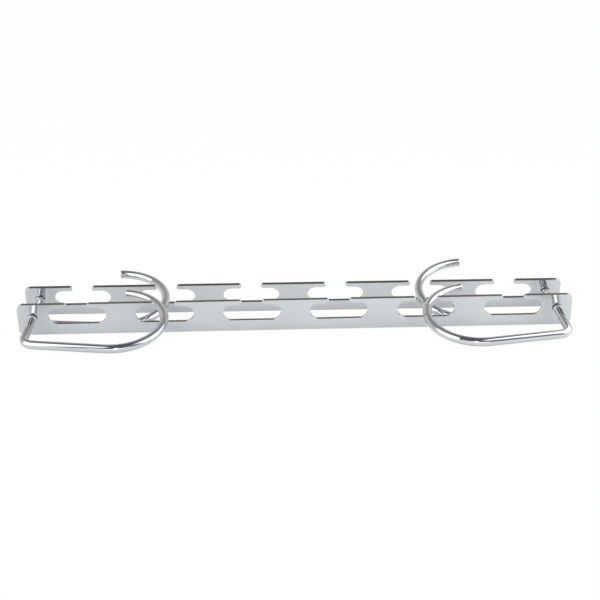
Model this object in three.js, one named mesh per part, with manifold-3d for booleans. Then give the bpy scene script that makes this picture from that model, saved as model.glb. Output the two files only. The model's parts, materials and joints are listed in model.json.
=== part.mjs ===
// A pair of cascading closet hangers, folded flat and standing one behind the other.
// Each hanger is a slotted steel strip with two swivelling wire hooks. A folded hook runs in front
// of its strip, curls back through the open mouth of a T-slot and ends behind the strip.
// Millimetres. X runs along the strips, -Y is the side that the hooks fold to, +Z is up.
import * as THREE from 'three';
import { mergeVertices } from 'three/addons/utils/BufferGeometryUtils.js';
import Module from 'manifold-3d';

// ---- Strip: a flat bar, punched with a row of T-slots that open at its top edge
const stripHeight = 20;
const stripThickness = 2;
const stripCornerRadius = 3.5;
const edgeBreak = 0.25;              // small chamfer left by tumbling the punched edges
const slotCount = 6;
const slotWidth = 33.2;
const slotMouth = 11.7;
const postWidth = 16.8;              // metal between two slots
const endLand = 17.4;                // metal between an outermost slot and the strip's end
const webHeight = 7;                 // metal left below a slot
const lipHeight = 2.8;               // metal left above a slot, on both sides of its mouth

// ---- Hook: one length of round wire, bent in a plane
const wireRadius = 2.5;
const legLength = 26.6;              // strip's middle to the shank's centreline
const elbowRadius = 6;
const elbowTurn = 88.2;              // degrees
const arcRadius = 28.2;
const arcSweep = 178;                // degrees
const reachShort = 0.6;              // how far an arc stops short of the middle of its slot's mouth

// ---- Swivel: the leg's end is turned down, passed through strip and washer, and peened over
const pivotInset = 8.5;              // pivot centre to the strip's end
const pivotHeight = 11;              // pivot centre above the strip's bottom edge
const collarRadius = 2.95;
const collarLength = 1.5;
const neckRadius = 2;
const headRadius = 3.4;
const headHeight = 1.3;
const washerRadius = 4.4;
const washerThickness = 0.8;
const pivotGap = 0.3;                // running clearance round and beside the neck

// ---- How the two hangers stand. Angles are in degrees.
// lean: the strip's tilt towards its hooks. yaw and shift: how the hanger is turned and set along X.
// splay and rise: how far the loose leg points outwards and upwards from square to the strip.
// The rear hooks were bent a little differently from the front ones.
const rearShift = -0.6;
const rearLeftShort = 1.7;
const rearRightShort = 0.8;
const rearRightArcRadius = 29.4;
const wire = { arc: arcRadius, sweep: arcSweep, short: reachShort };
const hangers = [
  {
    name: 'front', lean: 12.3, yaw: 0, shift: 0,
    hooks: {
      left: { ...wire, side: 1, splay: 5.7, rise: -2.7 },
      right: { ...wire, side: -1, splay: 6.8, rise: -2.6 },
    },
  },
  {
    name: 'rear', lean: 19.3, yaw: -0.6, shift: rearShift,
    hooks: {
      left: { ...wire, side: 1, splay: 1.4, rise: 4.5, short: rearLeftShort, sweep: 185 },
      right: {
        ...wire, side: -1, splay: -1.3, rise: 2, short: rearRightShort, arc: rearRightArcRadius, sweep: 176,
      },
    },
  },
];
const hangerGap = 0.6;               // rear shanks to the back of the front strip

// ---- Mesh fineness
const outlineSegments = 4;           // per quarter of a rounded end
const wireSides = 8;                 // per half turn
const wireStep = 2.4;                // spacing of the wire's rings
const pathSamples = 60;              // points per bend where a wire's clearance is measured
const latheSegments = 16;

const wasm = await Module();
wasm.setup();
const { degToRad } = THREE.MathUtils;

// Largest angle between a leg and the strip's normal: the pivot's holes and faces leave room for it
const maxTilt = degToRad(Math.max(...hangers.flatMap((hanger) => (
  Object.values(hanger.hooks).map((hook) => Math.hypot(hook.splay, hook.rise))
))));

// Radius of a hole whose far rim lies at a distance from the pivot centre and clears the tilted neck
function holeRadius(farRim) {
  return neckRadius / Math.cos(maxTilt) + farRim * Math.tan(maxTilt) + pivotGap;
}

// Distance along the leg at which a tilted disc just clears a face square to the pivot axis
function seatDistance(face, discRadius) {
  return face + pivotGap + discRadius * Math.tan(maxTilt);
}

const washerFace = stripThickness / 2 + pivotGap;
const collarSeat = seatDistance(stripThickness / 2, collarRadius);
const headSeat = seatDistance(washerFace + washerThickness, headRadius);

// ---- Strip
const slotCentreHeight = (stripHeight - lipHeight + webHeight) / 2;
const slotEndRadius = (stripHeight - lipHeight - webHeight) / 2;
const slotPitch = slotWidth + postWidth;
const stripLength = slotCount * slotPitch - postWidth + 2 * endLand;
const pivotX = stripLength / 2 - pivotInset;
const mouthReach = pivotX - (slotCount - 3) / 2 * slotPitch;  // pivot to the second slot's mouth

// Draws one T-slot into an outline that runs along the top edge from right to left
function addSlot(outline, centre) {
  const lipRadius = lipHeight / 2;
  const lipX = slotMouth / 2 + lipRadius;
  const endX = slotWidth / 2 - slotEndRadius;
  const lipY = stripHeight - lipRadius;
  const up = Math.PI / 2;
  outline.absarc(centre + lipX, lipY, lipRadius, up, 3 * up, false);
  outline.absarc(centre + endX, slotCentreHeight, slotEndRadius, up, -up, true);
  outline.absarc(centre - endX, slotCentreHeight, slotEndRadius, -up, -3 * up, true);
  outline.absarc(centre - lipX, lipY, lipRadius, -up, up, false);
}

function stripGeometry() {
  const outline = new THREE.Shape();
  const cornerX = stripLength / 2 - stripCornerRadius;
  const cornerY = stripHeight - stripCornerRadius;
  const quarter = Math.PI / 2;
  outline.absarc(-cornerX, stripCornerRadius, stripCornerRadius, 2 * quarter, 3 * quarter, false);
  outline.absarc(cornerX, stripCornerRadius, stripCornerRadius, 3 * quarter, 4 * quarter, false);
  outline.absarc(cornerX, cornerY, stripCornerRadius, 0, quarter, false);
  for (let slot = slotCount - 1; slot >= 0; slot -= 1) {
    addSlot(outline, (slot - (slotCount - 1) / 2) * slotPitch);
  }
  outline.absarc(-cornerX, cornerY, stripCornerRadius, quarter, 2 * quarter, false);
  outline.closePath();
  for (const x of [-pivotX, pivotX]) {
    const hole = new THREE.Path();
    hole.absarc(x, pivotHeight, holeRadius(stripThickness / 2), 0, 2 * Math.PI, true);
    outline.holes.push(hole);
  }
  const geometry = new THREE.ExtrudeGeometry(outline, {
    depth: stripThickness - 2 * edgeBreak,
    curveSegments: outlineSegments,
    bevelThickness: edgeBreak,
    bevelSize: edgeBreak,
    bevelOffset: -edgeBreak,
    bevelSegments: 1,
  });
  geometry.translate(0, 0, edgeBreak - stripThickness / 2);
  geometry.rotateX(Math.PI / 2);
  return geometry;
}

// ---- Hook
// Centreline in the XY plane: the pivot centre is the origin and the leg runs along -Y.
// side is 1 for a hook that folds towards +X and -1 for one that folds towards -X.
function wirePath({ side, short, arc, sweep }) {
  const turn = degToRad(elbowTurn);
  const shank = mouthReach - short - arc - elbowRadius;
  const legEnd = legLength - elbowRadius * Math.tan(turn / 2);
  const path = new THREE.CurvePath();
  const at = new THREE.Vector2(0, -collarSeat - collarLength / 2);
  let heading = -Math.PI / 2;
  const point = (p) => new THREE.Vector3(side * p.x, p.y, 0);

  function straight(length) {
    const end = new THREE.Vector2(Math.cos(heading), Math.sin(heading)).multiplyScalar(length).add(at);
    path.add(new THREE.LineCurve3(point(at), point(end)));
    at.copy(end);
  }

  function bend(radius, angle) {
    const centre = new THREE.Vector2(-Math.sin(heading), Math.cos(heading)).multiplyScalar(radius).add(at);
    const start = heading - Math.PI / 2;
    const curve = new THREE.Curve();
    curve.getPoint = (t, target = new THREE.Vector3()) => {
      const a = start + angle * t;
      return target.set(side * (centre.x + radius * Math.cos(a)), centre.y + radius * Math.sin(a), 0);
    };
    path.add(curve);
    heading += angle;
    at.set(centre.x + radius * Math.sin(heading), centre.y - radius * Math.cos(heading));
  }

  straight(legEnd + at.y);
  bend(elbowRadius, turn);
  straight(shank);
  bend(arc, degToRad(sweep));
  return path;
}

function toManifold(geometry) {
  const bare = geometry.clone();
  bare.deleteAttribute('normal');
  bare.deleteAttribute('uv');
  const welded = mergeVertices(bare, 1e-4);
  return new wasm.Manifold(new wasm.Mesh({
    numProp: 3,
    vertProperties: new Float32Array(welded.attributes.position.array),
    triVerts: new Uint32Array(welded.index.array),
  }));
}

function toGeometry(solid) {
  const { vertProperties, triVerts } = solid.getMesh();
  const geometry = new THREE.BufferGeometry();
  geometry.setAttribute('position', new THREE.BufferAttribute(vertProperties, 3));
  geometry.setIndex(new THREE.BufferAttribute(triVerts, 1));
  geometry.computeVertexNormals();
  return geometry;
}

// Turned and peened end of the leg, about the Y axis: head behind, neck through the strip, collar in front
function studGeometry() {
  const dome = new THREE.Path();
  dome.absellipse(0, headSeat, headRadius, headHeight, Math.PI / 2, 0, true);
  const profile = [
    ...dome.getPoints(outlineSegments),
    new THREE.Vector2(neckRadius, headSeat),
    new THREE.Vector2(neckRadius, -collarSeat),
    new THREE.Vector2(collarRadius, -collarSeat),
    new THREE.Vector2(collarRadius, -collarSeat - collarLength),
    new THREE.Vector2(0, -collarSeat - collarLength),
  ];
  profile[0].x = 0;
  return new THREE.LatheGeometry(profile.reverse(), latheSegments);
}

function hookGeometry(hook) {
  const path = wirePath(hook);
  const section = new THREE.Shape();
  section.absarc(0, 0, wireRadius, 0, 2 * Math.PI, false);
  const wire = new THREE.ExtrudeGeometry(section, {
    steps: Math.round(path.getLength() / wireStep),
    extrudePath: path,
    curveSegments: wireSides,
    bevelEnabled: false,
  });
  return toGeometry(toManifold(wire).add(toManifold(studGeometry())));
}

// ---- Washer between the strip and the peened head, about the Y axis
function washerGeometry() {
  const near = washerFace;
  const far = washerFace + washerThickness;
  const bore = holeRadius(far);
  const profile = [[bore, near], [washerRadius, near], [washerRadius, far], [bore, far], [bore, near]];
  return new THREE.LatheGeometry(profile.map(([r, y]) => new THREE.Vector2(r, y)), latheSegments);
}

// ---- Placing
const polished = { metalness: 1, roughness: 0.12 };
const stripSteel = new THREE.MeshStandardMaterial({ ...polished, color: 0xcdd0d2 });
const wireChrome = new THREE.MeshStandardMaterial({ ...polished, color: 0xd9dbdd, roughness: 0.06 });
const washerSteel = new THREE.MeshStandardMaterial({ ...polished, color: 0xb9bcbe });

// Turn of a hook about its pivot: swing lifts the shank's free end
function hookTurn({ side, splay, rise }, swing) {
  return new THREE.Euler(degToRad(-rise), -side * swing, degToRad(-side * splay), 'YXZ');
}

// Points of a hook's centreline in the frame that its hanger stands in
function standingWire(hook, swing, stand) {
  const pivot = new THREE.Vector3(-hook.side * pivotX, 0, pivotHeight);
  const turn = hookTurn(hook, swing);
  return wirePath(hook)
    .getPoints(pathSamples)
    .map((p) => p.applyEuler(turn).add(pivot).applyMatrix4(stand));
}

// The swing at which a folded hook's wire comes to rest on the table, found by halving
function foldedSwing(hook, stand) {
  let low = -0.2;
  let high = 0.2;
  while (high - low > 1e-5) {
    const middle = (low + high) / 2;
    const lowest = Math.min(...standingWire(hook, middle, stand).map((p) => p.z));
    if (lowest < wireRadius) low = middle;
    else high = middle;
  }
  return high;
}

function addHanger(rack, { name, lean, yaw, hooks }, position) {
  const hanger = new THREE.Group();
  hanger.position.copy(position);
  hanger.rotation.set(degToRad(lean), 0, degToRad(yaw), 'ZYX');
  hanger.updateMatrix();
  rack.add(hanger);
  const strip = new THREE.Mesh(stripGeometry(), stripSteel);
  strip.name = `${name}_strip`;
  hanger.add(strip);
  for (const [place, hook] of Object.entries(hooks)) {
    const pivot = new THREE.Vector3(-hook.side * pivotX, 0, pivotHeight);
    const wire = new THREE.Mesh(hookGeometry(hook), wireChrome);
    wire.name = `${name}_${place}_hook`;
    wire.position.copy(pivot);
    wire.rotation.copy(hookTurn(hook, foldedSwing(hook, hanger.matrix)));
    const washer = new THREE.Mesh(washerGeometry(), washerSteel);
    washer.name = `${name}_${place}_washer`;
    washer.position.copy(pivot);
    hanger.add(wire, washer);
  }
  return hanger;
}

// A leaning strip stands on the front corner of its bottom edge
function standHeight(lean) {
  return (stripThickness / 2 - edgeBreak) * Math.sin(degToRad(lean));
}

// How far back the rear hanger stands, so that its shanks just clear the back of the front strip
function hangerSpacing(front, rear) {
  const lean = degToRad(front.lean);
  const backwards = new THREE.Vector3(0, Math.cos(lean), Math.sin(lean));
  const origin = new THREE.Vector3(0, 0, standHeight(front.lean));
  const turn = new THREE.Euler(degToRad(rear.lean), 0, degToRad(rear.yaw), 'ZYX');
  const stand = new THREE.Matrix4().makeRotationFromEuler(turn).setPosition(0, 0, standHeight(rear.lean));
  const nearest = Math.min(...Object.values(rear.hooks).flatMap((hook) => (
    standingWire(hook, foldedSwing(hook, stand), stand).map((p) => p.sub(origin).dot(backwards))
  )));
  return (stripThickness / 2 + hangerGap + wireRadius - nearest) / Math.cos(lean);
}

const rack = new THREE.Group();
const [front, rear] = hangers;
addHanger(rack, front, new THREE.Vector3(front.shift, 0, standHeight(front.lean)));
addHanger(rack, rear, new THREE.Vector3(rear.shift, hangerSpacing(front, rear), standHeight(rear.lean)));

// The origin is the middle of the pair's footprint, on the table
rack.updateMatrixWorld(true);
const bounds = new THREE.Box3().setFromObject(rack, true);
const middle = bounds.getCenter(new THREE.Vector3());
rack.position.set(-middle.x, -middle.y, -bounds.min.z);

export default rack;
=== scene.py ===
import json
from math import cos, hypot, pi, radians, sin, tan

import bmesh
import bpy
from mathutils import Matrix, Vector


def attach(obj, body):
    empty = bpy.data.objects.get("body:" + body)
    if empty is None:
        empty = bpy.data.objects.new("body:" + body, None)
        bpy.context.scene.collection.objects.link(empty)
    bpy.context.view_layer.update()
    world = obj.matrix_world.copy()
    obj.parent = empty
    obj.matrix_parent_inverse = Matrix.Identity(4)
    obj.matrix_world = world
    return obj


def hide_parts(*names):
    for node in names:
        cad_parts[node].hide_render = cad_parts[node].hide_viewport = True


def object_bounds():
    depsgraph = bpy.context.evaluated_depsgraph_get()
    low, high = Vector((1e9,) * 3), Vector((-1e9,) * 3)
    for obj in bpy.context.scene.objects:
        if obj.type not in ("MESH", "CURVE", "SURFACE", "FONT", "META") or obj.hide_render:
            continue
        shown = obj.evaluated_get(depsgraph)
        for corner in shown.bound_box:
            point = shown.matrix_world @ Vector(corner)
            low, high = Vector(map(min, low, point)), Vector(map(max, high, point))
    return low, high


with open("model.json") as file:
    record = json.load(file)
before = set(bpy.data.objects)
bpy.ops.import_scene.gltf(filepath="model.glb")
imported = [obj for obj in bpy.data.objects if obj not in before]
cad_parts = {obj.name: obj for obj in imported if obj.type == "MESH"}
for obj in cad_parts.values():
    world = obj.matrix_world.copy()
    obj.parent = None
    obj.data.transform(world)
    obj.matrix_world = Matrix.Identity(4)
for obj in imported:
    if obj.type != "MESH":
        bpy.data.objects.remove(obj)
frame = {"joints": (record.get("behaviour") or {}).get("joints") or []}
cad_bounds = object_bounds()
MM = 0.001

# A pair of cascading closet hangers, folded flat and standing one behind the other.
# ---- Sizes of the pieces, in millimetres and degrees

strip_height = 20
strip_thickness = 2
strip_corner_radius = 3.5
edge_rounding = 0.25
slot_count = 6
slot_width = 33.2
slot_mouth = 11.7
post_width = 16.8
end_land = 17.4
web_height = 7
lip_height = 2.8
slot_pitch = slot_width + post_width
strip_length = slot_count * slot_pitch - post_width + 2 * end_land

wire_radius = 2.5
leg_length = 26.6
elbow_radius = 6
elbow_turn = 88.2
tip_rounding = 0.3

pivot_inset = 8.5
pivot_height = 11
pivot_x = strip_length / 2 - pivot_inset
collar_radius = 2.95
collar_length = 1.5
collar_rounding = 0.35
neck_radius = 2
head_radius = 3.4
head_height = 1.3
washer_radius = 4.4
washer_thickness = 0.8
washer_rounding = 0.12
pivot_gap = 0.3
mouth_reach = pivot_x - (slot_count - 3) / 2 * slot_pitch

# side is 1 for a left hook and -1 for a right one. splay and rise are how far its loose leg points
# outwards and upwards from square to the strip. short is how far the arc stops short of the middle
# of its slot's mouth; arc is the arc's radius and sweep its turn.
HOOKS = {
    "front_left_hook": dict(side=1, splay=5.7, rise=-2.7, short=0.6, arc=28.2, sweep=178),
    "front_right_hook": dict(side=-1, splay=6.8, rise=-2.6, short=0.6, arc=28.2, sweep=178),
    "rear_left_hook": dict(side=1, splay=1.4, rise=4.5, short=1.7, arc=28.2, sweep=185),
    "rear_right_hook": dict(side=-1, splay=-1.3, rise=2, short=0.8, arc=29.4, sweep=176),
}
max_tilt = max(radians(hypot(hook["splay"], hook["rise"])) for hook in HOOKS.values())


def hole_radius(far_rim):
    """Radius of a hole that clears the tilted neck, with its far rim far_rim from the pivot."""
    return neck_radius / cos(max_tilt) + far_rim * tan(max_tilt) + pivot_gap


def seat_distance(face, disc_radius):
    """Distance along the leg at which a tilted disc just clears a face."""
    return face + pivot_gap + disc_radius * tan(max_tilt)


washer_face = strip_thickness / 2 + pivot_gap
collar_seat = seat_distance(strip_thickness / 2, collar_radius)
head_seat = seat_distance(washer_face + washer_thickness, head_radius)

# ---- Materials


def linear(hex_colour):
    """An sRGB hex colour as linear RGBA."""
    def channel(value):
        value /= 255
        return value / 12.92 if value <= 0.04045 else ((value + 0.055) / 1.055) ** 2.4
    number = int(hex_colour.lstrip("#"), 16)
    return (*(channel(number >> shift & 255) for shift in (16, 8, 0)), 1)


def add_node(tree, kind, settings=None, **inputs):
    """Adds a node. settings are its own properties; inputs are values or sockets to link. An
    input goes by its name, or by its number behind a _ where the node repeats a name: a colour
    mix takes its two colours in 6 and 7 and gives its result in 2."""
    node = tree.nodes.new(kind)
    for name, value in (settings or {}).items():
        setattr(node, name, value)
    for name, value in inputs.items():
        key = int(name[1:]) if name[0] == "_" and name[1:].isdigit() else name.replace("_", " ")
        socket = node.inputs[key]
        if isinstance(value, bpy.types.NodeSocket):
            tree.links.new(value, socket)
        else:
            socket.default_value = value
    return node


def new_material(name):
    material = bpy.data.materials.new(name)
    material.use_nodes = True
    material.node_tree.nodes.clear()
    return material, material.node_tree


def finish_material(tree, shader):
    add_node(tree, "ShaderNodeOutputMaterial", Surface=shader)


def polished_strip_steel():
    """Stainless sheet, rolled and bright-polished: a cool grey mirror, softened along the rolling
    direction by a faint grain."""
    material, tree = new_material("bright_polished_stainless_strip")
    place = add_node(tree, "ShaderNodeTexCoord").outputs["Object"]
    # Rolling grain: streaks about 60 mm long and 0.4 mm apart, coarser than real so that they show
    along = add_node(tree, "ShaderNodeMapping", Vector=place, Scale=(16, 2400, 2400)).outputs[0]
    grain = add_node(tree, "ShaderNodeTexNoise", Vector=along, Scale=1, Detail=3, Roughness=0.6)
    # Slow unevenness of the polishing, about 25 mm across
    patch = add_node(tree, "ShaderNodeTexNoise", Vector=place, Scale=40, Detail=2, Roughness=0.5)
    rough = add_node(tree, "ShaderNodeMapRange", Value=patch.outputs[0], From_Min=0.3, From_Max=0.7,
                     To_Min=0.045, To_Max=0.085).outputs[0]
    grain_rough = add_node(tree, "ShaderNodeMath", {"operation": "MULTIPLY_ADD"},
                           _0=grain.outputs[0], _1=0.03, _2=rough).outputs[0]
    tint = add_node(tree, "ShaderNodeMix", {"data_type": "RGBA"}, Factor=patch.outputs[0],
                    _6=linear("#CAD0D4"), _7=linear("#D3D6D7")).outputs[2]
    bump = add_node(tree, "ShaderNodeBump", Strength=0.03, Distance=0.00001,
                    Height=grain.outputs[0])
    metal = add_node(tree, "ShaderNodeBsdfPrincipled", Base_Color=tint, Metallic=1,
                     Roughness=grain_rough, Normal=bump.outputs[0])
    finish_material(tree, metal.outputs[0])
    return material


def chromed_wire():
    """Drawn steel wire, bent and then nickel-chrome plated: a clear mirror with a trace of orange
    peel."""
    material, tree = new_material("nickel_chrome_plated_wire")
    place = add_node(tree, "ShaderNodeTexCoord").outputs["Object"]
    # Plating waviness about 3 mm across
    peel = add_node(tree, "ShaderNodeTexNoise", Vector=place, Scale=330, Detail=2, Roughness=0.5)
    # Unevenness of the plating, about 15 mm across
    patch = add_node(tree, "ShaderNodeTexNoise", Vector=place, Scale=60, Detail=3, Roughness=0.6)
    rough = add_node(tree, "ShaderNodeMapRange", Value=patch.outputs[0], From_Min=0.3, From_Max=0.7,
                     To_Min=0.03, To_Max=0.07).outputs[0]
    tint = add_node(tree, "ShaderNodeMix", {"data_type": "RGBA"}, Factor=patch.outputs[0],
                    _6=linear("#C9CBCE"), _7=linear("#D1D2D3")).outputs[2]
    bump = add_node(tree, "ShaderNodeBump", Strength=0.05, Distance=0.00002,
                    Height=peel.outputs[0])
    metal = add_node(tree, "ShaderNodeBsdfPrincipled", Base_Color=tint, Metallic=1, Roughness=rough,
                     Normal=bump.outputs[0])
    finish_material(tree, metal.outputs[0])
    return material


def bright_washer_steel():
    """Blanked steel washer, zinc-bright: a little duller than the strip, with fine tumbling
    marks."""
    material, tree = new_material("bright_tumbled_steel_washer")
    place = add_node(tree, "ShaderNodeTexCoord").outputs["Object"]
    # Tumbling dents about 0.4 mm across
    dents = add_node(tree, "ShaderNodeTexNoise", Vector=place, Scale=2500, Detail=3, Roughness=0.6)
    rough = add_node(tree, "ShaderNodeMapRange", Value=dents.outputs[0], From_Min=0.3, From_Max=0.7,
                     To_Min=0.16, To_Max=0.28).outputs[0]
    tint = add_node(tree, "ShaderNodeMix", {"data_type": "RGBA"}, Factor=dents.outputs[0],
                    _6=linear("#B4B7B9"), _7=linear("#C6C8C9")).outputs[2]
    bump = add_node(tree, "ShaderNodeBump", Strength=0.15, Distance=0.00002,
                    Height=dents.outputs[0])
    metal = add_node(tree, "ShaderNodeBsdfPrincipled", Base_Color=tint, Metallic=1, Roughness=rough,
                     Normal=bump.outputs[0])
    finish_material(tree, metal.outputs[0])
    return material


def sheared_edge_with_painted_shade():
    """The cut edges of the strip that run along it: torn and burnished by the punch, so duller than
    the faces, with fine marks across the thickness. Their darker grey is partly the cut steel's own
    and
    partly painted shade: the ends, cut alike, keep the polished steel."""
    material, tree = new_material("sheared_stainless_edge_with_painted_shade")
    place = add_node(tree, "ShaderNodeTexCoord").outputs["Object"]
    # Punch marks about 0.6 mm apart along the strip
    across = add_node(tree, "ShaderNodeMapping", Vector=place, Scale=(1700, 60, 400)).outputs[0]
    marks = add_node(tree, "ShaderNodeTexNoise", Vector=across, Scale=1, Detail=3, Roughness=0.65)
    rough = add_node(tree, "ShaderNodeMapRange", Value=marks.outputs[0], From_Min=0.3, From_Max=0.7,
                     To_Min=0.08, To_Max=0.18).outputs[0]
    # The darker grey is partly the cut steel's own dullness and partly painted shade
    tint = add_node(tree, "ShaderNodeMix", {"data_type": "RGBA"}, Factor=marks.outputs[0],
                    _6=linear("#7F7B73"), _7=linear("#9D9990")).outputs[2]
    bump = add_node(tree, "ShaderNodeBump", Strength=0.2, Distance=0.00003,
                    Height=marks.outputs[0])
    metal = add_node(tree, "ShaderNodeBsdfPrincipled", Base_Color=tint, Metallic=1, Roughness=rough,
                     Normal=bump.outputs[0])
    finish_material(tree, metal.outputs[0])
    return material


strip_steel = polished_strip_steel()
edge_steel_with_painted_shade = sheared_edge_with_painted_shade()
wire_chrome = chromed_wire()
washer_steel = bright_washer_steel()

# ---- Where the hangers stand. A hanger's own axes are X along the strip, Y its normal, Z up it.

joints = {joint["child"]: joint for joint in frame["joints"]}


def hanger_matrix(place):
    """Place of a hanger, from the pivots of its two hooks."""
    left = Vector(joints[f"{place}_left_hook"]["pos_m"])
    right = Vector(joints[f"{place}_right_hook"]["pos_m"])
    x = (right - left).normalized()
    y = Vector(joints[f"{place}_right_hook"]["axis"]).normalized()
    z = x.cross(y)
    turn = Matrix((x, y, z)).transposed().to_4x4()
    return Matrix.Translation((left + right) / 2 - z * pivot_height * MM) @ turn


def pivot_matrix(side):
    """Place of a pivot on its hanger. side is 1 for the left one and -1 for the right one."""
    return Matrix.Translation(Vector((-side * pivot_x, 0, pivot_height)) * MM)


def piece(name, bm, matrix, materials, body, node):
    """Turns a mesh in millimetres into a finished piece at its place in the frame."""
    bmesh.ops.transform(bm, matrix=matrix @ Matrix.Scale(MM, 4), verts=bm.verts)
    mesh = bpy.data.meshes.new(name)
    bm.to_mesh(mesh)
    bm.free()
    for material in materials:
        mesh.materials.append(material)
    made = bpy.data.objects.new(name, mesh)
    bpy.context.scene.collection.objects.link(made)
    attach(made, body)
    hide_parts(node)
    return made


def sharpen(bm, angle):
    """Smooth shading, broken where two faces meet at more than an angle in degrees."""
    for face in bm.faces:
        face.smooth = True
    for edge in bm.edges:
        edge.smooth = len(edge.link_faces) == 2 and edge.calc_face_angle() < radians(angle)


# ---- Strip

corner_steps = 10
edge_steps = 3
rim_turn = 80                        # an edge of the strip that turns by more degrees is rounded
rim_reach = 1.1                      # its roundings end within this many times their radius
# Shares of a face's normal that tell the parts of the strip apart
broad_face = 0.999                   # along Y, at least: the front and the back
flat_wall = 0.001                    # along Y, at most: the flat of an edge
level_wall = 0.2                     # along X, at most: an edge that runs along the strip
# Rounded corners that share a straight end stop this share short of meeting in the middle of it
nearly_whole = 0.999
seam_width = 0.015                   # closes the hair's breadth that those corners leave


def strip_part(bm, corners):
    """A flat face from its corners, each (x, z, radius). Corners with a radius are rounded."""
    verts = [bm.verts.new((x, 0, z)) for x, z, _ in corners]
    bm.faces.new(verts)
    for radius in sorted({radius for _, _, radius in corners if radius}):
        rounded = [vert for vert, corner in zip(verts, corners) if corner[2] == radius]
        bmesh.ops.bevel(bm, geom=rounded, offset=radius, segments=corner_steps, profile=0.5,
                        affect="VERTICES", material=-1)


def half_slot(centre, side):
    """Corners of one half of a T-slot, from its mouth down to the middle of its bottom."""
    under_lip = strip_height - lip_height
    lip_radius = lip_height / 2 * nearly_whole
    end_radius = (under_lip - web_height) / 2 * nearly_whole
    return [(centre + side * x, z, radius) for x, z, radius in (
        (slot_mouth / 2, strip_height, lip_radius),
        (slot_mouth / 2, under_lip, lip_radius),
        (slot_width / 2, under_lip, end_radius),
        (slot_width / 2, web_height, end_radius),
        (0, web_height, 0),
    )]


def strip_piece(name, place):
    """The flat is laid out in parts that meet below the middle of each slot and at the pivot
    holes, then given its thickness and its rolled edges."""
    bm = bmesh.new()
    first = (slot_count - 1) / 2 * slot_pitch
    for post in range(slot_count - 1):
        left = post * slot_pitch - first
        right = left + slot_pitch
        strip_part(bm, [(left, 0, 0), (right, 0, 0), *reversed(half_slot(right, -1)),
                        *half_slot(left, 1)])
    hole = hole_radius(strip_thickness / 2)
    hole_corner = hole * nearly_whole
    above = pivot_height + hole
    below = pivot_height - hole
    outer = pivot_x + hole
    inner = pivot_x - hole
    end = strip_length / 2
    for side in (-1, 1):
        strip_part(bm, [(side * x, z, radius) for x, z, radius in (
            (pivot_x, 0, 0), (end, 0, strip_corner_radius),
            (end, strip_height, strip_corner_radius), (pivot_x, strip_height, 0),
            (pivot_x, above, 0), (outer, above, hole_corner), (outer, below, hole_corner),
            (pivot_x, below, 0),
        )])
        strip_part(bm, [
            (side * first, 0, 0), (side * pivot_x, 0, 0), (side * pivot_x, below, 0),
            (side * inner, below, hole_corner), (side * inner, above, hole_corner),
            (side * pivot_x, above, 0), (side * pivot_x, strip_height, 0),
            *half_slot(side * first, side),
        ])
    bmesh.ops.remove_doubles(bm, verts=bm.verts, dist=seam_width)
    bmesh.ops.translate(bm, verts=bm.verts, vec=(0, -strip_thickness / 2, 0))
    grown = bmesh.ops.extrude_face_region(bm, geom=bm.faces[:], use_keep_orig=True)["geom"]
    moved = [item for item in grown if isinstance(item, bmesh.types.BMVert)]
    bmesh.ops.translate(bm, verts=moved, vec=(0, strip_thickness, 0))
    bmesh.ops.recalc_face_normals(bm, faces=bm.faces)
    rims = [edge for edge in bm.edges if edge.calc_face_angle() > radians(rim_turn)]
    bmesh.ops.bevel(bm, geom=rims, offset=edge_rounding, segments=edge_steps, profile=0.5,
                    affect="EDGES", material=-1)
    top_from = strip_height - edge_rounding * rim_reach
    for face in bm.faces:
        face.smooth = abs(face.normal.y) < broad_face
        # Painted shade: the sheared edge's darker grey goes only on edges that run along the strip,
        # the top one right to its corners, a slot's only on the flat of its walls, while the ends
        # stay polished
        level = abs(face.normal.x) < level_wall
        top_edge = face.calc_center_median().z > top_from and face.smooth
        wall = abs(face.normal.y) < flat_wall
        face.material_index = int(level and (top_edge or wall))
    return piece(name, bm, hanger_matrix(place), [strip_steel, edge_steel_with_painted_shade],
                 f"{place}_hanger", f"{place}_strip")


# ---- Hook. It is bent in the XY plane: the pivot centre is the origin, the leg runs along -Y.

wire_sides = 48
arc_steps = 80
elbow_steps = 24
dome_steps = 8
collar_rim_turn = 60                 # degrees by which the collar's rims turn, at least
most_swing = 0.2                     # radians either way, in which a folded hook comes to rest
swing_halvings = 24


def wire_path(hook):
    """The wire's centreline after its collar, as [kind, amount, radius] moves."""
    turn = radians(elbow_turn)
    leg = leg_length - elbow_radius * tan(turn / 2)
    shank = mouth_reach - hook["short"] - hook["arc"] - elbow_radius
    return [
        ("straight", leg - collar_seat - collar_length, 0),
        ("bend", turn, elbow_radius),
        ("straight", shank, 0),
        ("bend", radians(hook["sweep"]), hook["arc"]),
    ]


def grow(bm, end):
    """Extrudes a wire's end face where it is, and returns the new end."""
    grown = bmesh.ops.extrude_face_region(bm, geom=[end, *end.edges, *end.verts])["geom"]
    return next(item for item in grown if isinstance(item, bmesh.types.BMFace))


def set_ring(end, radius, y):
    """Sets an end face square to the leg, at a radius and a place along it."""
    for vert in end.verts:
        flat = Vector((vert.co.x, 0, vert.co.z)).normalized() * radius
        vert.co = (flat.x, y, flat.z)


def is_collar_rim(edge):
    """Whether an edge lies round the outside of the collar, at either of its ends."""
    slack = 0.01
    one, other = (vert.co for vert in edge.verts)
    return (collar_seat - slack < -one.y < collar_seat + collar_length + slack
            and abs(one.y - other.y) < slack / 10
            and hypot(one.x, one.z) > collar_radius - slack
            and edge.calc_face_angle() > radians(collar_rim_turn))


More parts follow.
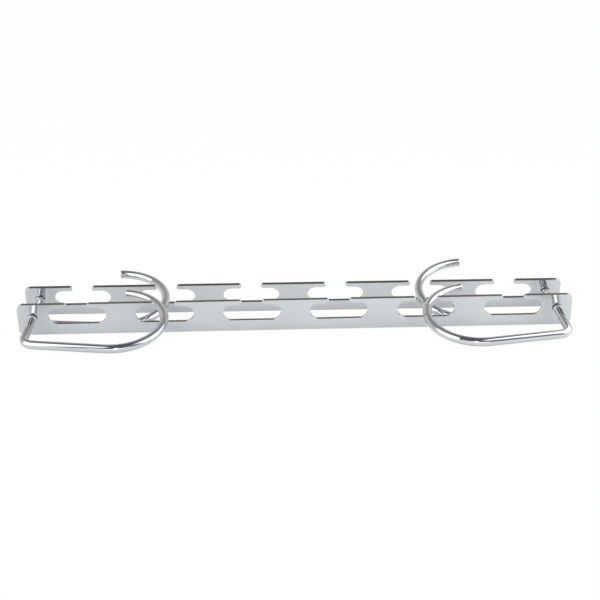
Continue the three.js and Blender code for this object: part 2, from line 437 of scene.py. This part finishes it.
def hook_mesh(hook):
    """The hook in one solid: domed head, neck, collar and the bent wire with its rounded tip."""
    bm = bmesh.new()
    made = bmesh.ops.create_circle(bm, cap_ends=True, segments=wire_sides, radius=1,
                                   matrix=Matrix.Rotation(pi / 2, 4, "X"))
    end = made["verts"][0].link_faces[0]
    angles = [pi / 2 * (step + 1) / dome_steps for step in range(dome_steps)]
    collar_end = collar_seat + collar_length
    profile = [
        *((head_radius * sin(angle), head_seat + head_height * cos(angle)) for angle in angles),
        (neck_radius, head_seat), (neck_radius, -collar_seat), (collar_radius, -collar_seat),
        (collar_radius, -collar_end), (wire_radius, -collar_end),
    ]
    set_ring(end, *profile[0])
    for radius, y in profile[1:]:
        end = grow(bm, end)
        set_ring(end, radius, y)
    heading = Vector((0, -1, 0))
    inward = Vector((hook["side"], 0, 0))
    for kind, amount, radius in wire_path(hook):
        if kind == "straight":
            end = grow(bm, end)
            bmesh.ops.translate(bm, verts=end.verts[:], vec=heading * amount)
            continue
        centre = end.calc_center_median() + inward * radius
        axis = heading.cross(inward)
        steps = elbow_steps if radius == elbow_radius else arc_steps
        for _ in range(steps):
            end = grow(bm, end)
            bmesh.ops.rotate(bm, verts=end.verts[:], cent=centre,
                             matrix=Matrix.Rotation(amount / steps, 3, axis))
        turned = Matrix.Rotation(amount, 3, axis)
        heading = turned @ heading
        inward = turned @ inward
    bmesh.ops.recalc_face_normals(bm, faces=bm.faces)
    bmesh.ops.bevel(bm, geom=end.edges[:], offset=tip_rounding, segments=edge_steps, profile=0.5,
                    affect="EDGES", material=-1)
    rims = [edge for edge in bm.edges if is_collar_rim(edge)]
    bmesh.ops.bevel(bm, geom=rims, offset=collar_rounding, segments=edge_steps, profile=0.5,
                    affect="EDGES", material=-1)
    sharpen(bm, angle=40)
    return bm


def hook_matrix(hook, stand, swing):
    """Place of a hook whose shank's free end is swung up by an angle in radians."""
    side = hook["side"]
    lean = Matrix.Rotation(-side * swing, 4, "Y") @ Matrix.Rotation(-radians(hook["rise"]), 4, "X")
    splay = Matrix.Rotation(-side * radians(hook["splay"]), 4, "Z")
    return stand @ pivot_matrix(side) @ lean @ splay


def hook_piece(node):
    """A folded hook's wire rests on the table: the swing that brings it there is found by
    halving."""
    hook = HOOKS[node]
    bm = hook_mesh(hook)
    stand = hanger_matrix(node.split("_")[0])
    points = [vert.co * MM for vert in bm.verts]
    under, over = -most_swing, most_swing
    for _ in range(swing_halvings):
        middle = (under + over) / 2
        matrix = hook_matrix(hook, stand, middle)
        if min((matrix @ point).z for point in points) < 0:
            under = middle
        else:
            over = middle
    return piece(node.replace("hook", "wire_hook"), bm, hook_matrix(hook, stand, over),
                 [wire_chrome], node, node)


# ---- Washer

washer_sides = 64


def washer_piece(node):
    """A washer's section, spun round its pivot."""
    place, side_name, _ = node.split("_")
    near = washer_face
    far = washer_face + washer_thickness
    bore = hole_radius(far)
    bm = bmesh.new()
    corners = [bm.verts.new((radius, y, 0)) for radius, y in
               ((bore, near), (washer_radius, near), (washer_radius, far), (bore, far))]
    face = bm.faces.new(corners)
    bmesh.ops.bevel(bm, geom=face.verts[:], offset=washer_rounding, segments=2, profile=0.5,
                    affect="VERTICES", material=-1)
    outline = bm.edges[:]
    bmesh.ops.delete(bm, geom=bm.faces[:], context="FACES_ONLY")
    bmesh.ops.spin(bm, geom=bm.verts[:] + outline, cent=(0, 0, 0), axis=(0, 1, 0), angle=2 * pi,
                   steps=washer_sides, use_merge=True)
    bmesh.ops.recalc_face_normals(bm, faces=bm.faces)
    sharpen(bm, angle=50)
    stand = hanger_matrix(place) @ pivot_matrix(1 if side_name == "left" else -1)
    return piece(node.replace("washer", "back_washer"), bm, stand, [washer_steel],
                 f"{place}_hanger", node)


for place in ("front", "rear"):
    strip_piece(f"{place}_slotted_strip", place)
    for side_name in ("left", "right"):
        washer_piece(f"{place}_{side_name}_washer")
for node in HOOKS:
    hook_piece(node)

# ---- Table, light and camera. Places and sizes are in metres from here on.

low, high = (Vector(corner) for corner in cad_bounds)
table_half_size = 6
table_clearance = 0.00002
white_seen = 0.965                   # share of plain white that the camera sees on the table
white_mirrored = 0.3                 # the same for what metal mirrors


def table():
    """A matt white table top. It shows as white, and keeps a soft shadow under the hangers."""
    bm = bmesh.new()
    bmesh.ops.create_grid(bm, x_segments=1, y_segments=1, size=table_half_size)
    bmesh.ops.translate(bm, verts=bm.verts, vec=(0, 0, low.z - table_clearance))
    mesh = bpy.data.meshes.new("table_top")
    bm.to_mesh(mesh)
    bm.free()
    material, tree = new_material("matt_white_table")
    path = add_node(tree, "ShaderNodeLightPath").outputs
    seen = add_node(tree, "ShaderNodeMath", {"operation": "MULTIPLY"},
                    _0=path["Is Camera Ray"], _1=white_seen).outputs[0]
    mirrored = add_node(tree, "ShaderNodeMath", {"operation": "MAXIMUM"},
                        _0=path["Is Glossy Ray"], _1=path["Is Transmission Ray"]).outputs[0]
    white = add_node(tree, "ShaderNodeMath", {"operation": "MULTIPLY_ADD"},
                     _0=mirrored, _1=white_mirrored, _2=seen).outputs[0]
    lit = add_node(tree, "ShaderNodeBsdfDiffuse", Color=linear("#E8E8E8")).outputs[0]
    glow = add_node(tree, "ShaderNodeEmission", Color=(1, 1, 1, 1), Strength=1).outputs[0]
    shown = add_node(tree, "ShaderNodeMixShader", _0=white, _1=lit, _2=glow).outputs[0]
    finish_material(tree, shown)
    mesh.materials.append(material)
    top = bpy.data.objects.new("table_top", mesh)
    bpy.context.scene.collection.objects.link(top)


# What the metal mirrors, by bearing from the front. Each zone gives way to the next between two
# bearings, in degrees, and its colours are given by elevation, in degrees.
ROOM = [
    # The middle of the front: a low white card before the darker end of the room
    (None, [(0, "#F4F4F4"), (14, "#FCFCFC"), (20, "#55535B"), (34, "#4C4A52"), (46, "#6C6A74"),
            (60, "#74727C"), (76, "#5E5C64"), (88, "#504E54")]),
    # The open front on both sides of it
    ((14, 22), [(0, "#DCDADF"), (6, "#C8C6D0"), (14, "#8A8798"), (28, "#8A8798"), (46, "#74727E"),
                (60, "#74727C"), (76, "#5E5C64"), (88, "#504E54")]),
    # The pale side walls
    ((45, 65), [(0, "#E8E8E8"), (20, "#E4E4E4"), (36, "#C4C4C2"), (48, "#B4B4B2"), (60, "#ACACAC"),
                (70, "#9C9C9E"), (78, "#7C7A80"), (88, "#504E54")]),
    # The grey back wall, which falls off into a dim roof
    ((125, 160), [(0, "#E0E0E0"), (12, "#DCDDDC"), (30, "#D6D6D4"), (38, "#CCCCCA"),
                  (43, "#BCBCBA"), (50, "#A6A6A2"), (57, "#94928F"), (66, "#8A8887"),
                  (76, "#727074"), (88, "#504E54")]),
]


def studio_world():
    """Plain white for the camera, an even pale grey for light that falls on anything dull, and
    the room for what metal mirrors."""
    world = bpy.data.worlds.new("studio")
    world.use_nodes = True
    bpy.context.scene.world = world
    tree = world.node_tree
    tree.nodes.clear()
    direction = add_node(tree, "ShaderNodeTexCoord").outputs["Generated"]
    parts = add_node(tree, "ShaderNodeSeparateXYZ", Vector=direction).outputs
    forward = add_node(tree, "ShaderNodeMath", {"operation": "MULTIPLY"},
                       _0=parts["Y"], _1=-1).outputs[0]
    signed = add_node(tree, "ShaderNodeMath", {"operation": "ARCTAN2"},
                      _0=parts["X"], _1=forward).outputs[0]
    bearing = add_node(tree, "ShaderNodeMath", {"operation": "ABSOLUTE"}, _0=signed).outputs[0]
    for blend, stops in ROOM:
        ramp = add_node(tree, "ShaderNodeValToRGB", Fac=parts["Z"])
        elements = ramp.color_ramp.elements
        elements.remove(elements[1])
        for index, (elevation, colour) in enumerate(stops):
            place = sin(radians(elevation))
            element = elements.new(place) if index else elements[0]
            element.position = place
            element.color = linear(colour)
        zone = ramp.outputs["Color"]
        if blend is None:
            room = zone
            continue
        share = add_node(tree, "ShaderNodeMapRange", {"interpolation_type": "SMOOTHSTEP"},
                         Value=bearing, From_Min=radians(blend[0]),
                         From_Max=radians(blend[1])).outputs[0]
        room = add_node(tree, "ShaderNodeMix", {"data_type": "RGBA"}, Factor=share,
                        _6=room, _7=zone).outputs[2]
    path = add_node(tree, "ShaderNodeLightPath").outputs
    ambient = add_node(tree, "ShaderNodeMix", {"data_type": "RGBA"}, Factor=path["Is Camera Ray"],
                       _6=linear("#EAEAEA"), _7=(1, 1, 1, 1)).outputs[2]
    colour = add_node(tree, "ShaderNodeMix", {"data_type": "RGBA"}, Factor=path["Is Glossy Ray"],
                      _6=ambient, _7=room).outputs[2]
    background = add_node(tree, "ShaderNodeBackground", Color=colour, Strength=1).outputs[0]
    add_node(tree, "ShaderNodeOutputWorld", Surface=background)


def softbox(name, place, aim, size, radiance, roll=0):
    """A soft rectangular lamp of an even radiance, length by height. roll lifts its left end, in
    degrees."""
    lamp = bpy.data.lights.new(name, "AREA")
    lamp.shape = "RECTANGLE"
    lamp.size, lamp.size_y = size
    lamp.energy = radiance * pi * size[0] * size[1]
    made = bpy.data.objects.new(name, lamp)
    made.location = place
    faced = (Vector(aim) - Vector(place)).to_track_quat("-Z", "Y").to_matrix()
    made.rotation_euler = (faced @ Matrix.Rotation(radians(roll), 3, "Z")).to_euler()
    made.visible_camera = False
    bpy.context.scene.collection.objects.link(made)


view_azimuth, view_elevation, view_roll = radians(1.124), radians(18.378), radians(-0.786)
view_offset = Vector((3.3, 2.55, 1.35))           # from the middle of the pair, in millimetres
view_distance = 841.2                             # in millimetres


def camera():
    """A long lens from a little above, almost square to the front strip."""
    aim = (low + high) / 2 + view_offset * MM
    across = Vector((cos(view_azimuth), -sin(view_azimuth), 0))
    ahead = Vector((sin(view_azimuth) * cos(view_elevation),
                    cos(view_azimuth) * cos(view_elevation), -sin(view_elevation)))
    raised = across.cross(ahead)
    right = cos(view_roll) * across + sin(view_roll) * raised
    up = cos(view_roll) * raised - sin(view_roll) * across
    lens = bpy.data.cameras.new("camera")
    lens.sensor_width = 36
    lens.lens = 86.21
    lens.clip_start = 0.01
    lens.clip_end = 50
    made = bpy.data.objects.new("camera", lens)
    turn = Matrix((right, up, -ahead)).transposed().to_4x4()
    made.matrix_world = Matrix.Translation(aim - ahead * view_distance * MM) @ turn
    bpy.context.scene.collection.objects.link(made)
    bpy.context.scene.camera = made


table()
studio_world()
# The left one lights the strips' faces, the right one the outsides of the arcs, and the two at
# the front put the bright lines along the shanks and legs.
softbox("left_softbox", place=(-0.74, -0.35, 0.52), aim=(-0.25, 0.4, 0.07), size=(0.95, 1.0),
        radiance=1.6)
softbox("front_reflector", place=(0, -0.75, 0.14), aim=(0, 0, 0.01), size=(0.75, 0.13),
        radiance=1.3)
softbox("front_strip_light", place=(0, -1.5, 0.55), aim=(0, 0, 0.01), size=(0.2, 0.8), radiance=1.5)
softbox("right_softbox", place=(0.57, -0.19, 0.275), aim=(0.47, -0.26, 0.065), size=(0.78, 0.7),
        radiance=1.6, roll=43)
camera()
bpy.context.scene.view_settings.view_transform = "Standard"
